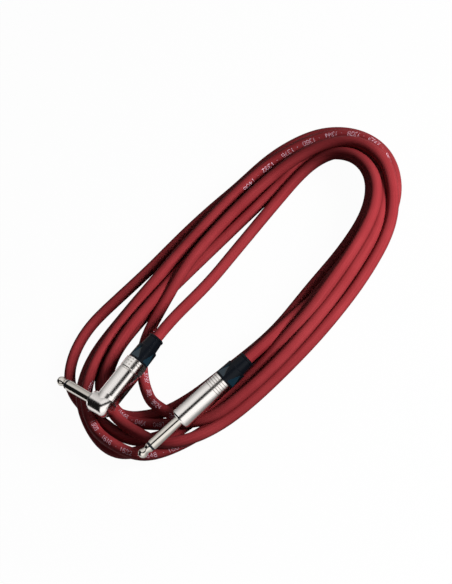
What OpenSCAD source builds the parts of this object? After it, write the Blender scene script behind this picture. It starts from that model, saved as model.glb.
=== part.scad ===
// Instrument cable: a loosely coiled round cable between a straight plug and a right-angle plug.
// Units are millimetres, +Z is up, and the cable lies on z = 0 with its footprint centred on the origin.

/* [Cable] */
// Outside diameter of the cable jacket
cord_d = 6.8; // [5.8:0.1:7.2]
// Diameter of the insulated core under the jacket
core_d = 3; // [2.4:0.1:3.4]
// Diameter of the twisted shield tail
shield_d = 1.4; // [1:0.1:1.8]

/* [Coil] */
// Centreline radius of the outermost turn at the left end
left_end_r = 48; // [44:1:52]
// Centreline radius of the outermost turn at the right end
right_end_r = 61; // [56:1:66]
// Distance between the centres of the two ends, along X
ends_apart = 127; // [110:1:140]
// Radius that the near run bows with
near_run_r = 180; // [160:5:240]
// Radius that the far run bows with
far_run_r = 300; // [250:10:400]
// Width of the coil where its turns squeeze together at the right end
narrow_w = 20.5; // [19:0.5:26]
// Height of the coil where its turns squeeze together at the right end
narrow_h = 18.6; // [14:0.2:20]
// Extra width of the coil where its turns spread out along the near run
spread_w = 13.5; // [10:0.5:16]
// Height of the coil along the far run and round the left end
low_h = 12.6; // [11:0.2:14]
// Height of the coil under the straight plug's bushing
dip_h = 7.4; // [7:0.1:7.6]

/* [Plug finger] */
// Diameter of the finger that goes into a jack
finger_d = 6.35; // [6.3:0.05:6.4]
// Length of the finger from the shoulder to the tip
finger_len = 30.5; // [29:0.5:32]
// Length of the tip contact that shows
tip_len = 8; // [7:0.5:9]
// Width of the insulating ring behind the tip contact
ring_w = 1.2; // [0.8:0.1:1.6]
// Diameter of the rod that carries the tip contact
rod_d = 2.2; // [1.8:0.1:2.4]
// Wall of the insulating sleeve around the rod
rod_wall = 0.8; // [0.5:0.1:1]

/* [Straight shell] */
// Outside diameter of both bushings and of the straight shell
shell_d = 12.9; // [12.6:0.1:14]
// Length of the straight shell
shell_len = 34; // [33:0.5:40]
// Wall at the shell's cable end
shell_wall = 0.9; // [0.7:0.1:1.1]
// Thickness of the shell's front wall
front_wall = 1.5; // [1.2:0.1:2]

/* [Angled shell] */
// Diameter of the barrel
barrel_d = 14; // [13.4:0.1:15]
// Length of the barrel from the finger's axis
barrel_len = 32.5; // [31:0.5:38]
// Diameter of the head
head_d = 13; // [12.4:0.1:13.2]
// Distance from the barrel's axis to the finger's shoulder
head_front = 9.3; // [9:0.1:11]
// Distance from the barrel's axis to the back of the head
head_back = 7.4; // [7.2:0.1:9]

/* [Bushings] */
// Length of a bushing outside its shell
bushing_len = 18.6; // [16:0.2:22]
// Diameter at the bushing's cable end
bushing_end_d = 9.8; // [9.6:0.1:10.6]
// Length of the full-width collar with the triangular recesses
collar_len = 10.4; // [9:0.2:12]
// Depth of the triangular recesses
recess_depth = 0.9; // [0.5:0.1:1.1]
// Length of the threaded neck inside the shell
neck_len = 6; // [5:0.5:7]
// Wall of the threaded neck
neck_wall = 0.75; // [0.6:0.05:0.9]

/* [Chucks] */
// Length of the chuck's gripping jaws
jaw_len = 8; // [6:0.5:9]
// Length of the chuck's solid ring
chuck_ring_len = 5; // [4:0.5:6]
// Number of slots between the jaws
jaw_slots = 3; // [2:1:4]

/* [Fits] */
// Radial gap between pieces that turn or slide in each other
run_gap = 0.3; // [0.2:0.05:0.4]
// Radial gap between pieces that are pressed together
snug = 0.05; // [0.03:0.01:0.08]

/* [Hidden] */
cord_r = cord_d / 2;
finger_r = finger_d / 2;
rod_r = rod_d / 2;
rod_sleeve_r = rod_r + rod_wall;
shell_r = shell_d / 2;
bore_r = shell_r - shell_wall;
barrel_r = barrel_d / 2;
head_r = head_d / 2;
neck_r = bore_r - run_gap;
neck_bore_r = neck_r - neck_wall;
jaw_r = neck_bore_r - run_gap;
cord_bore_r = cord_r + run_gap;
chuck_bore_r = cord_r + 2 * snug;
bushing_end_r = bushing_end_d / 2;
flange_len = 2;
washer_len = 1.2;
lug_w = 3;
lug_t = 0.8;
lug_inset = 0.4;
solder_len = 1;
// how far behind the shoulder the rod ends and the two solder lugs reach
inner_wall = front_wall + flange_len + washer_len;
straight_lug_z = inner_wall + 8;
straight_jacket_z = straight_lug_z + 5;
// in the angled plug the head's cavity ends the rod at the barrel's axis
angled_jacket_x = 16;
cavity_r = head_r - 1.4;
shield_y = core_d / 2 + shield_d / 2 + 0.4;
straight_shield_len = 6.5;
eps = 0.01;
$fn = 64;

// Middle of each end of the coil
left_mid = [(left_end_r - right_end_r - ends_apart) / 2, 2];
right_mid = [(left_end_r - right_end_r + ends_apart) / 2, -4];

// Where each plug lies: the finger's shoulder on the straight one, and the crossing of the finger's
// and the barrel's axes on the angled one. In both, +Z runs toward the finger's tip.
straight_at = [-76, -53.5, 18.5];
straight_turn = [0, 85, 176.5];
angled_at = [-101, 1, 20];
angled_turn = [-83.5, 6.5, 12];

jacket = "firebrick";
nickel = "silver";
moulding = "#1c2026";
nylon = "ivory";
copper = "peru";
solder = "lightgray";

// ---- Coil: one closed solid of the outer shape of the turns -------------------------------------

// Middle of a run's arc, which touches both end circles from outside
function run_mid(r, side) =
    let (d1 = r - left_end_r, d2 = r - right_end_r, apart = norm(right_mid - left_mid),
         along = (right_mid - left_mid) / apart, across = [-along[1], along[0]],
         a = (d1 * d1 - d2 * d2 + apart * apart) / (2 * apart))
    left_mid + a * along + side * sqrt(d1 * d1 - a * a) * across;

near_mid = run_mid(near_run_r, 1);
far_mid = run_mid(far_run_r, -1);
function heading(v) = atan2(v[1], v[0]);
near_a0 = heading(left_mid - near_mid);
near_a1 = heading(right_mid - near_mid);
far_a0 = heading(right_mid - far_mid);
far_a1 = heading(left_mid - far_mid);

// [middle, radius, first angle, last angle, steps, [share, width] list, [share, height] list]
limb_w = narrow_w + spread_w;
limb_h = narrow_h - cord_r;
coil_arcs = [
    [near_mid, near_run_r, near_a0, near_a1, 18,
     [[0, limb_w - 3], [0.5, limb_w + 1], [1, limb_w - 1]],
     [[0, low_h - 0.8], [0.2, low_h - 2.4], [0.34, dip_h + 0.2], [0.54, dip_h], [0.66, low_h], [0.8, limb_h],
      [1, limb_h + 1.6]]],
    [right_mid, right_end_r, near_a1, far_a0, 18,
     [[0, limb_w - 1], [0.35, narrow_w + 1], [0.6, narrow_w], [1, limb_w - 4]],
     [[0, limb_h + 1.6], [0.5, narrow_h], [1, limb_h]]],
    [far_mid, far_run_r, far_a0, far_a1, 14,
     [[0, limb_w - 4], [0.45, limb_w - 3], [1, narrow_w + 1]],
     [[0, limb_h], [0.3, low_h], [1, low_h]]],
    [left_mid, left_end_r, far_a1, near_a0 + 360, 16,
     [[0, narrow_w + 1], [0.6, narrow_w + 5], [1, limb_w - 3]],
     [[0, low_h], [0.7, low_h - 0.2], [1, low_h - 0.8]]]
];

// A coil section in its own plane, x outward and y up, with the cable's radius on its corners
function coil_section(w, h) =
    let (lean = 0.3 * (h - cord_d),
         inner = -(w - cord_d),
         corners = [[inner, cord_r, 180], [0, cord_r, 270], [-lean, h - cord_r, 0],
                    [inner + lean, h - cord_r, 90]])
    [for (c = corners) for (a = [0:30:90]) [c[0] + cord_r * cos(c[2] + a), c[1] + cord_r * sin(c[2] + a)]];

// One ring of the coil, at a share t of the arc a
function coil_ring(a, t) =
    let (angle = a[2] + t * (a[3] - a[2]), section = coil_section(lookup(t, a[5]), lookup(t, a[6])))
    [for (p = section) [a[0][0] + (a[1] + p[0]) * cos(angle), a[0][1] + (a[1] + p[0]) * sin(angle), p[1]]];

coil_rings = [for (a = coil_arcs) for (i = [0:a[4] - 1]) coil_ring(a, i / a[4])];

function flat(lists) = [for (l = lists) for (v = l) v];

module cable_coil() {
    rings = len(coil_rings);
    sides = len(coil_rings[0]);
    faces = [for (i = [0:rings - 1]) for (j = [0:sides - 1])
        let (k = (i + 1) % rings, m = (j + 1) % sides)
        [i * sides + j, k * sides + j, k * sides + m, i * sides + m]];
    color(jacket) polyhedron(points = flat(coil_rings), faces = faces);
}

// ---- Cable where it isn't coiled ----------------------------------------------------------------

// The strand that bulges out on the far side
outer_stray = [
    [8, 60, 3.4], [-6, 65, 3.4], [-20, 67.5, 3.4], [-34, 69.5, 3.4], [-48, 72, 3.4], [-61, 73.8, 3.4],
    [-73, 74, 3.4], [-84, 70.5, 3.4], [-94, 62.5, 3.4], [-102, 52.5, 3.4], [-108, 41, 3.4],
    [-111.5, 29, 3.4], [-112, 16, 3.4]
];

// The strand that cuts across inside the left end
inner_stray = [
    [2, 42, 9], [-14, 40, 7.4], [-30, 38.5, 4.4], [-45, 35.5, 3.4], [-57, 29.5, 3.4], [-67, 20, 3.4],
    [-74, 8, 3.4], [-78.5, -4, 3.8], [-80.2, -14, 7.4], [-80, -23, 10], [-79, -32, 8.6], [-77, -41, 6], [-75, -50, 4.4]
];

// From the straight plug's bushing into the near run
straight_lead = [[-12, -57.5, 12.6], [-2, -57.3, 11.4], [8, -57.4, 10.4], [19, -59, 9.8], [31, -61.5, 9.4]];

// From the angled plug's bushing to the right end
angled_lead = [
    [-34, 15.2, 11.8], [-23, 17.6, 8.8], [-12, 20, 5.8], [0, 22.2, 3.6], [14, 23.4, 3.4], [30, 24.2, 3.4],
    [46, 25.2, 3.4], [60, 26, 3.5], [73, 25.4, 4.8], [85, 21.6, 7.2], [95, 14, 9.6], [102, 3, 11.6], [106, -9, 12.4]
];

function unit(v) = v / norm(v);

// A round tube of 12 sides with a ring at each point of its route
module tube(route, r) {
    last = len(route) - 1;
    sides = 12;
    rings = [for (i = [0:last])
        let (along = unit(route[min(i + 1, last)] - route[max(i - 1, 0)]),
             side = unit(cross([0, 0, 1], along)),
             up = cross(along, side))
        [for (j = [0:sides - 1]) route[i] + r * (cos(j * 360 / sides) * side + sin(j * 360 / sides) * up)]];
    walls = [for (i = [0:last - 1]) for (j = [0:sides - 1])
        let (m = (j + 1) % sides)
        [i * sides + j, i * sides + m, (i + 1) * sides + m, (i + 1) * sides + j]];
    caps = [[for (j = [sides - 1:-1:0]) j], [for (j = [0:sides - 1]) last * sides + j]];
    polyhedron(points = flat(rings), faces = concat(walls, caps));
}

// A vector turned as rotate() turns a solid
function turned(v, a) =
    let (x = [v[0], v[1] * cos(a[0]) - v[2] * sin(a[0]), v[1] * sin(a[0]) + v[2] * cos(a[0])],
         y = [x[0] * cos(a[1]) + x[2] * sin(a[1]), x[1], -x[0] * sin(a[1]) + x[2] * cos(a[1])])
    [y[0] * cos(a[2]) - y[1] * sin(a[2]), y[0] * sin(a[2]) + y[1] * cos(a[2]), y[2]];

straight_out = -turned([0, 0, 1], straight_turn);
angled_out = turned([1, 0, 0], angled_turn);
lead_straightness = bushing_len + 7;

module cable_outer_stray() {
    color(jacket) tube(outer_stray, cord_r);
}

module cable_inner_stray() {
    color(jacket) tube(inner_stray, cord_r);
}

module cable_lead_straight() {
    start = straight_at + straight_jacket_z * straight_out;
    leave = straight_at + (shell_len + lead_straightness) * straight_out;
    middle = (start + leave) / 2;
    color(jacket) tube(concat([start, middle, leave], straight_lead), cord_r);
}

module cable_lead_angled() {
    start = angled_at + angled_jacket_x * angled_out;
    leave = angled_at + (barrel_len + lead_straightness) * angled_out;
    middle = (start + leave) / 2;
    color(jacket) tube(concat([start, middle, leave], angled_lead), cord_r);
}

// ---- Places in the plugs ------------------------------------------------------------------------

// +Z toward the tip, from the finger's shoulder
module at_finger(angled) {
    if (angled) {
        translate(angled_at) rotate(angled_turn) translate([0, 0, head_front]) children();
    } else {
        translate(straight_at) rotate(straight_turn) children();
    }
}

// +Z toward the cable, from the shell's cable end
module at_cable_end(angled) {
    if (angled) {
        translate(angled_at) rotate(angled_turn) translate([barrel_len, 0, 0]) rotate([0, 90, 0]) children();
    } else {
        translate(straight_at) rotate(straight_turn) translate([0, 0, -shell_len]) rotate([0, 180, 0]) children();
    }
}

// ---- Plug finger --------------------------------------------------------------------------------

ring_z = finger_len - tip_len;
sleeve_end_z = ring_z - ring_w;
// width of the relief groove at the shoulder
relief_w = 0.7;

// Tip contact: a waisted tip on a rod that ends in the solder lug
module tip_contact(angled) {
    rod_end = angled ? -(head_front + 1.5) : -straight_lug_z;
    color(nickel) at_finger(angled) {
        rotate_extrude() polygon([
            [0, rod_end], [rod_r, rod_end], [rod_r, ring_z], [2.9, ring_z], [2.9, ring_z + 0.7],
            [2.1, ring_z + 2.4], [2.1, ring_z + 3], [2.75, ring_z + 4.6], [2.9, ring_z + 5.4],
            [2.6, ring_z + 6.6], [1.6, finger_len - 0.35], [0.8, finger_len], [0, finger_len]
        ]);
    }
}

// Insulating sleeve around the rod, with the ring that shows behind the tip contact
module tip_insulator(angled) {
    color(moulding) at_finger(angled) {
        rotate_extrude() polygon([
            [rod_r + snug, -inner_wall], [rod_sleeve_r, -inner_wall], [rod_sleeve_r, sleeve_end_z],
            [finger_r - 0.2, sleeve_end_z], [finger_r - 0.2, ring_z], [rod_r + snug, ring_z]
        ]);
    }
}

// Sleeve contact: the finger's tube, its flange behind the shell's front wall and the ground lug
module sleeve_contact(angled) {
    lug_reach = angled ? 7.5 : 10;
    hole_r = rod_sleeve_r + snug;
    flange_r = angled ? cavity_r - run_gap : bore_r - run_gap;
    color(nickel) at_finger(angled) {
        rotate_extrude() polygon([
            [hole_r, -front_wall - flange_len], [flange_r, -front_wall - flange_len],
            [flange_r, -front_wall], [finger_r, -front_wall], [finger_r, 0], [finger_r - 0.25, 0],
            [finger_r - 0.25, relief_w], [finger_r, relief_w], [finger_r, sleeve_end_z - 0.3],
            [finger_r - 0.3, sleeve_end_z], [hole_r, sleeve_end_z]
        ]);
        translate([-lug_w / 2, flange_r - lug_t - lug_inset, -front_wall - flange_len - lug_reach])
            cube([lug_w, lug_t, lug_reach + 1]);
    }
}

// Washer that keeps the rod clear of the flange
module washer(angled) {
    washer_r = (angled ? cavity_r : bore_r) - run_gap - lug_t - 0.8;
    color(nylon) at_finger(angled) translate([0, 0, -inner_wall])
        difference() {
            cylinder(h = washer_len, r = washer_r);
            translate([0, 0, -eps]) cylinder(h = washer_len + 2 * eps, r = rod_sleeve_r + snug);
        }
}

// ---- Shells -------------------------------------------------------------------------------------

// Ring grooves cut from a shell of radius r, each a distance back from its cable end
module ring_grooves(r, places) {
    for (z = places)
        translate([0, 0, -z]) rotate_extrude() translate([r - 0.2, 0]) square([1, 0.4]);
}

module straight_shell() {
    front_r = finger_r + 1.5;
    color(nickel) at_cable_end(false) difference() {
        rotate_extrude() polygon([
            [0, 0], [shell_r - 0.2, 0], [shell_r, -0.2], [shell_r, -shell_len + 1.2],
            [shell_r - 0.6, -shell_len + 0.4], [front_r, -shell_len + 0.4], [front_r, -shell_len], [0, -shell_len]
        ]);
        translate([0, 0, -shell_len + front_wall]) cylinder(h = shell_len, r = bore_r);
        translate([0, 0, -shell_len - eps]) cylinder(h = front_wall + 2 * eps, r = finger_r + snug);
        ring_grooves(shell_r, [1.6, 3.2, 4.8, 6.4, 8]);
    }
}

// Half the head's outline, turned about the finger's axis: a chamfered front and a rounded back
module head_outline() {
    back_round = 5;
    translate([0, back_round - head_back]) square([head_r, head_back - back_round + head_front - 3]);
    translate([0, -head_back]) square([head_r - back_round, back_round + eps]);
    intersection() {
        translate([head_r - back_round, back_round - head_back]) circle(back_round);
        translate([0, -2 * head_r]) square([head_r, 4 * head_r]);
    }
    polygon([[0, head_front - 3 - eps], [head_r, head_front - 3 - eps], [head_r - 0.7, head_front - 1.2],
             [head_r - 2, head_front], [0, head_front]]);
}

// Half the barrel's outline, with a groove near the cable end
module barrel_outline() {
    groove = barrel_len - 8.4;
    polygon([
        [0, 0], [head_r - 0.4, 0], [barrel_r, 6], [barrel_r, groove], [barrel_r - 0.35, groove + 0.4],
        [barrel_r - 0.35, groove + 1.4], [barrel_r, groove + 1.8], [barrel_r, barrel_len - 0.3],
        [barrel_r - 0.3, barrel_len], [0, barrel_len]
    ]);
}

module angled_shell() {
    wide_bore = 20;
    color(nickel) difference() {
        translate(angled_at) rotate(angled_turn) {
            rotate_extrude() head_outline();
            rotate([0, 90, 0]) rotate_extrude() barrel_outline();
        }
        at_finger(true) {
            translate([0, 0, -front_wall]) cylinder(h = front_wall + 1, r = finger_r + snug);
            translate([0, 0, -head_front - 4]) cylinder(h = head_front + 4 - front_wall, r = cavity_r);
        }
        at_cable_end(true) {
            translate([0, 0, -barrel_len]) cylinder(h = barrel_len - wide_bore + eps, r = cavity_r - 0.6);
            translate([0, 0, -wide_bore]) cylinder(h = wide_bore + 1, r = bore_r);
            ring_grooves(barrel_r, [1.6, 3.2]);
        }
    }
}

// ---- Strain relief ------------------------------------------------------------------------------

// Slotted chuck: a ring in the shell and jaws in the bushing's neck
module chuck(angled) {
    color(nylon) at_cable_end(angled) difference() {
        rotate_extrude() polygon([
            [chuck_bore_r, -neck_len - chuck_ring_len], [neck_r, -neck_len - chuck_ring_len],
            [neck_r, -neck_len - run_gap], [jaw_r, -neck_len - run_gap],
            [jaw_r, -neck_len + jaw_len - 2], [jaw_r - 0.25, -neck_len + jaw_len], [chuck_bore_r, -neck_len + jaw_len]
        ]);
        for (i = [0:jaw_slots - 1])
            rotate([0, 0, i * 360 / jaw_slots]) translate([0, -0.5, -neck_len - 1])
                cube([neck_r + 1, 1, jaw_len + 2]);
    }
}

// One triangular recess on the collar, its base at the shell and its apex toward the cable
module triangle_recess() {
    half = shell_r * 0.55;
    translate([shell_r - recess_depth, 0, 1.2]) rotate([90, 0, 90])
        linear_extrude(recess_depth + 1) polygon([[-half, 0], [half, 0], [0, collar_len - 2]]);
}

// Moulded bushing: a threaded neck, a collar with recesses, a step and a taper to the cable
module bushing(angled) {
    seam = 0.1;
    waist_r = shell_r - recess_depth - 0.3;
    bore_end = jaw_len - neck_len + 1.4;
    color(moulding) at_cable_end(angled) difference() {
        rotate_extrude() polygon([
            [neck_bore_r, -neck_len], [neck_r - 0.3, -neck_len], [neck_r, -neck_len + 0.3], [neck_r, seam],
            [shell_r, seam], [shell_r, 1.2], [shell_r - 0.25, collar_len - 0.4], [shell_r - 0.6, collar_len],
            [waist_r, collar_len], [bushing_end_r - 0.3, bushing_len - 1.5], [bushing_end_r, bushing_len - 1.3],
            [bushing_end_r, bushing_len - 0.4], [bushing_end_r - 0.4, bushing_len], [cord_bore_r, bushing_len],
            [cord_bore_r, bore_end], [neck_bore_r, bore_end]
        ]);
        for (i = [0:3]) rotate([0, 0, i * 90]) triangle_recess();
    }
}

// ---- Wiring inside the plugs --------------------------------------------------------------------

// Where the jacket ends, along the cable end's axis
function jacket_end(angled) = angled ? angled_jacket_x - barrel_len : straight_jacket_z - shell_len;

// Where the rod's solder begins, along the same axis
function rod_face(angled) = angled ? rod_r - barrel_len : straight_lug_z - shell_len;

// Solder between the core and the rod
module tip_solder(angled) {
    color(solder) at_cable_end(angled) translate([0, 0, rod_face(angled)])
        cylinder(h = solder_len, r = rod_r + 0.3);
}

// Insulated core from the jacket's end to the solder on the rod
module core(angled) {
    start = rod_face(angled) + solder_len;
    color(nylon) at_cable_end(angled) translate([0, 0, start])
        cylinder(h = jacket_end(angled) - start, d = core_d);
}

// Twisted shield from the jacket's end to the ground lug
module shield(angled) {
    reach = angled ? angled_jacket_x + lug_w / 2 : straight_shield_len;
    color(copper) at_cable_end(angled) translate([0, shield_y, jacket_end(angled) - reach])
        cylinder(h = reach, d = shield_d);
}

// Solder between the shield and the ground lug
module ground_solder(angled) {
    shield_side = shield_y + shield_d / 2;
    lug_side = (angled ? cavity_r : bore_r) - run_gap - lug_t - lug_inset;
    place = angled ? -barrel_len - lug_w / 2 : jacket_end(false) - straight_shield_len;
    straight_len = 2;
    color(solder) at_cable_end(angled) translate([-shield_d / 2, shield_side, place])
        cube([shield_d, lug_side - shield_side, angled ? lug_w : straight_len]);
}

cable_coil();
cable_outer_stray();
cable_inner_stray();
cable_lead_straight();
cable_lead_angled();
tip_contact(false);  // straight_tip
tip_insulator(false);  // straight_insulator
sleeve_contact(false);  // straight_sleeve
washer(false);  // straight_washer
straight_shell();
chuck(false);  // straight_chuck
bushing(false);  // straight_bushing
core(false);  // straight_core
shield(false);  // straight_shield
tip_solder(false);  // straight_tip_solder
ground_solder(false);  // straight_ground_solder
tip_contact(true);  // angled_tip
tip_insulator(true);  // angled_insulator
sleeve_contact(true);  // angled_sleeve
washer(true);  // angled_washer
angled_shell();
chuck(true);  // angled_chuck
bushing(true);  // angled_bushing
core(true);  // angled_core
shield(true);  // angled_shield
tip_solder(true);  // angled_tip_solder
ground_solder(true);  // angled_ground_solder
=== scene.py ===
# %% [markdown]
# # An instrument cable, dressed
#
# The model arrives as a finished frame: every rigid piece of the two plugs, and a plain stand-in for
# the coiled cable. This lesson lays one real length of cable in place of the stand-in, gives each
# piece the finish that it is made with, and lights it like a product on a white table.

# %% Load the frame
import math

import bmesh
import bpy
from mathutils import Matrix, Vector


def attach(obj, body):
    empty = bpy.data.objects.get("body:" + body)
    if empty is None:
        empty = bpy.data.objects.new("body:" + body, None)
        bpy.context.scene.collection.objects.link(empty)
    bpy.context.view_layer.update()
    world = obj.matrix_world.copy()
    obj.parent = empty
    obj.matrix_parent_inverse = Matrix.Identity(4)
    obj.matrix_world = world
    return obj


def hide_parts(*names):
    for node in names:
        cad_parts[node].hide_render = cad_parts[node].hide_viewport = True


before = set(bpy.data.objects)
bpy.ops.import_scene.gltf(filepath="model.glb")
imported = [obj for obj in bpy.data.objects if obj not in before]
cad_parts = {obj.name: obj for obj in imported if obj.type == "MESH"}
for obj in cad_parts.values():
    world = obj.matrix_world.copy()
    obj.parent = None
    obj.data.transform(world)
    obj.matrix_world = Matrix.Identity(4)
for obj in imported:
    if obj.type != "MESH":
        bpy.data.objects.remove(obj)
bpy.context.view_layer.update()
MM = 0.001

# %% [markdown]
# ## Into the scene
#
# A mesh, a lamp or a camera shows only when an object holds it and a collection holds the object.
# Blender's operators could do both, but they depend on what is selected. Two small helpers do it
# directly instead. The second one takes a bmesh, which is a mesh that is still being built.


# %% Into the scene
def in_scene(name, data):
    """An object that holds the data, in the scene."""
    thing = bpy.data.objects.new(name, data)
    bpy.context.scene.collection.objects.link(thing)
    return thing


def as_object(name, shape):
    """A bmesh as an object, in the scene."""
    data = bpy.data.meshes.new(name)
    shape.to_mesh(data)
    shape.free()
    return in_scene(name, data)


# %% [markdown]
# ## The camera
#
# The camera looks down on the table at 43 degrees. An orthographic one would keep the coil's sides
# exactly parallel, and one close by would spread them. A long lens from 1.6 m lies between the two.
# The camera is rolled by 48 degrees, which is why the coil runs up across the view. It is set first,
# because the cable is judged through it.

# %% Camera
LOOK_AT = Vector((-4, 9, 0)) * MM
DISTANCE = 1.6
ELEVATION = math.radians(43)
ROLL = math.radians(48)
LENS, SENSOR, FARTHEST = 167.2, 36, 10

level_right = Vector((1, 0, 0))
level_up = Vector((0, math.sin(ELEVATION), math.cos(ELEVATION)))
backward = Vector((0, -math.cos(ELEVATION), math.sin(ELEVATION)))
view_right = math.cos(ROLL) * level_right - math.sin(ROLL) * level_up
view_up = math.sin(ROLL) * level_right + math.cos(ROLL) * level_up

camera_data = bpy.data.cameras.new("camera")
camera_data.lens, camera_data.sensor_width, camera_data.clip_end = LENS, SENSOR, FARTHEST
camera = in_scene("camera", camera_data)
axes = Matrix((view_right, view_up, backward)).transposed()
camera.matrix_world = Matrix.Translation(LOOK_AT + DISTANCE * backward) @ axes.to_4x4()
bpy.context.scene.camera = camera
print("camera at", [round(x, 3) for x in camera.matrix_world.translation])

# %% [markdown]
# ## The way round the coil
#
# A coil that has been pulled long is an oval of four arcs: two tight ends and two runs that bow
# slightly. A curve drawn by hand could hold all the turns, but it would be hard to correct. Here
# every turn follows the same oval, moved in a little and lifted on to what it lies on. All lengths
# are in millimetres until the cable is built. The middle of a run's circle follows from the two end
# circles, which it meets without a corner.

# %% The oval
LEFT_MID, LEFT_R = Vector((-70, 2)), 48
RIGHT_MID, RIGHT_R = Vector((57, -4)), 61
NEAR_R, FAR_R = 180, 300


def run_middle(radius, side):
    """Middle of a run's circle, which holds both end circles and touches them."""
    across = RIGHT_MID - LEFT_MID
    left, right, apart = radius - LEFT_R, radius - RIGHT_R, across.length
    along = (left**2 - right**2 + apart**2) / (2 * apart)
    off = math.sqrt(left**2 - along**2)
    return LEFT_MID + along * across / apart + side * off * Vector((-across.y, across.x)) / apart


near_mid, far_mid = run_middle(NEAR_R, 1), run_middle(FAR_R, -1)
print("middles of the runs:", near_mid.to_tuple(1), far_mid.to_tuple(1))

# %% [markdown]
# A place on the coil is three numbers: the way round, the inset and the height. The way round is 4
# for each turn, one for each arc: near run, right end, far run, left end. The inset says how far
# inside the outermost line the strand lies.


# %% Places on the oval
def heading(v):
    return math.atan2(v.y, v.x)


near_start, near_end = heading(LEFT_MID - near_mid), heading(RIGHT_MID - near_mid)
far_start, far_end = heading(RIGHT_MID - far_mid), heading(LEFT_MID - far_mid)
ARCS = [
    (near_mid, NEAR_R, near_start, near_end),
    (RIGHT_MID, RIGHT_R, near_end, far_start),
    (far_mid, FAR_R, far_start, far_end),
    (LEFT_MID, LEFT_R, far_end, near_start + 2 * math.pi),
]


def on_oval(way, inset, height):
    middle, radius, start, end = ARCS[int(way) % 4]
    angle = start + (way % 1) * (end - start)
    return Vector((middle.x + (radius - inset) * math.cos(angle),
                   middle.y + (radius - inset) * math.sin(angle), height))


turn = sum(radius * (end - start) for _, radius, start, end in ARCS)
print("one turn of the outermost line:", round(turn), "mm")

# %% [markdown]
# Where the cable changes its lane, its inset and height slide smoothly from one key to the next.
# Straight lines between the keys would leave corners there. A key is (way round, inset, height).


# %% Between two keys
def slide(keys, way):
    """Inset and height at a way round, on smooth curves through the keys."""
    last = len(keys) - 1
    i = max(k for k in range(last) if keys[k][0] <= way or k == 0)
    a, b = keys[i], keys[i + 1]
    before, after = keys[max(i - 1, 0)], keys[min(i + 2, last)]
    span = b[0] - a[0]
    t = min(max((way - a[0]) / span, 0), 1)
    values = []
    for n in (1, 2):
        slope_a = (b[n] - before[n]) / (b[0] - before[0]) * span
        slope_b = (after[n] - a[n]) / (after[0] - a[0]) * span
        values.append(a[n] + t * slope_a + t * t * (3 * (b[n] - a[n]) - 2 * slope_a - slope_b)
                      + t**3 * (2 * (a[n] - b[n]) + slope_a + slope_b))
    return values


lane_change = [(0, 0, 0), (1, 0, 0), (2, 6, 0), (3, 6, 0)]
print("halfway from inset 0 to 6:", round(slide(lane_change, 1.5)[0], 2))

# %% [markdown]
# A loop then walks round the coil from the first key to the last. Its steps are a fifth of an arc,
# which is fine enough, because the curve that is laid through the points later is smooth by itself.


# %% Lanes
def lane(keys, step=0.2):
    """Points round the coil from the first key to the last."""
    first, last = keys[0][0], keys[-1][0]
    count = round((last - first) / step)
    ways = [first + (last - first) * i / count for i in range(count + 1)]
    return [on_oval(way, *slide(keys, way)) for way in ways]


print("points to a turn:", len(lane([(0, 0, 0), (4, 0, 0)])) - 1)

# %% [markdown]
# ## The lay of the cable
#
# From the straight plug the cable goes round seven and a half times and ends in the right-angle plug.
# Floor lanes have their middle 3.4 mm up, which is half the cable. The next layer lies in the valleys
# at about 9.3, and the strands on top of the right end at about 15. A cable that is dropped in a
# simulation would lie as naturally, but never in the same place. So every turn is told where to go.

# %% Where the plugs are
CORD_D = 6.8
FLOOR = CORD_D / 2
STRAIGHT_AT, STRAIGHT_TURN = Vector((-76, -53.5, 18.5)), (0, 85, 176.5)
ANGLED_AT, ANGLED_TURN = Vector((-101, 1, 20)), (-83.5, 6.5, 12)
STRAIGHT_SHELL, ANGLED_BARREL = 34, 32.5


def turned(v, degrees):
    """A vector turned about X, then Y, then Z."""
    v = Vector(v)
    for axis, angle in zip("XYZ", degrees):
        v = Matrix.Rotation(math.radians(angle), 3, axis) @ v
    return v


straight_out = -turned((0, 0, 1), STRAIGHT_TURN)
angled_out = turned((1, 0, 0), ANGLED_TURN)
straight_end = STRAIGHT_AT + STRAIGHT_SHELL * straight_out
angled_end = ANGLED_AT + ANGLED_BARREL * angled_out
print("the shells end at", straight_end.to_tuple(1), angled_end.to_tuple(1))

# %% [markdown]
# Where the cable leaves the oval, its points are listed. Inside a plug they lie on the plug's
# own middle line, so that the cable comes out straight.


# %% Listed points
def points(*xyz):
    return [Vector(p) for p in xyz]


def out_of(at, along, *distances):
    return [at + d * along for d in distances]


print("10 mm out of the straight shell:", out_of(straight_end, straight_out, 10)[0].to_tuple(1))

# %% [markdown]
# The first turn leaves the straight plug on top of the near run, comes down on the far side and
# passes under the plug. Keys lie close together where the cable climbs over another strand, because
# that is where it bends.

# %% Turn one
from_straight_plug = out_of(STRAIGHT_AT, straight_out, 17.7, 30, 44, 57, 61, 65) + points(
    (-2, -57.7, 11.8), (8, -57.2, 10.4), (19, -58.6, 9.8), (31, -61.6, 9.4))
first_round = [
    (0.8, 8.6, 9.3), (1.0, 9.6, 9.3), (1.25, 11.2, 9.3), (1.5, 12, 9.4), (1.65, 14.5, 9.8),
    (1.8, 18.5, 8.6), (1.95, 23, 4.8), (2.15, 24.3, FLOOR), (2.3, 23.6, FLOOR), (2.47, 22, FLOOR),
    (2.6, 18, FLOOR), (2.73, 14.4, FLOOR), (2.86, 8.5, FLOOR), (3.03, 10.1, FLOOR), (3.18, 13.3, 4),
    (3.34, 16.6, 5.5), (3.5, 18.2, 5.8), (3.61, 18.6, 4.6), (3.76, 18.8, FLOOR), (3.93, 17.2, FLOOR)]
under_the_plug = points(
    (-86, -31, 5.5), (-78.5, -43, 7.6), (-71, -53, 8), (-63.5, -60, 7.9), (-54, -64.8, 8.6),
    (-44, -67.4, 9.2))
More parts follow.
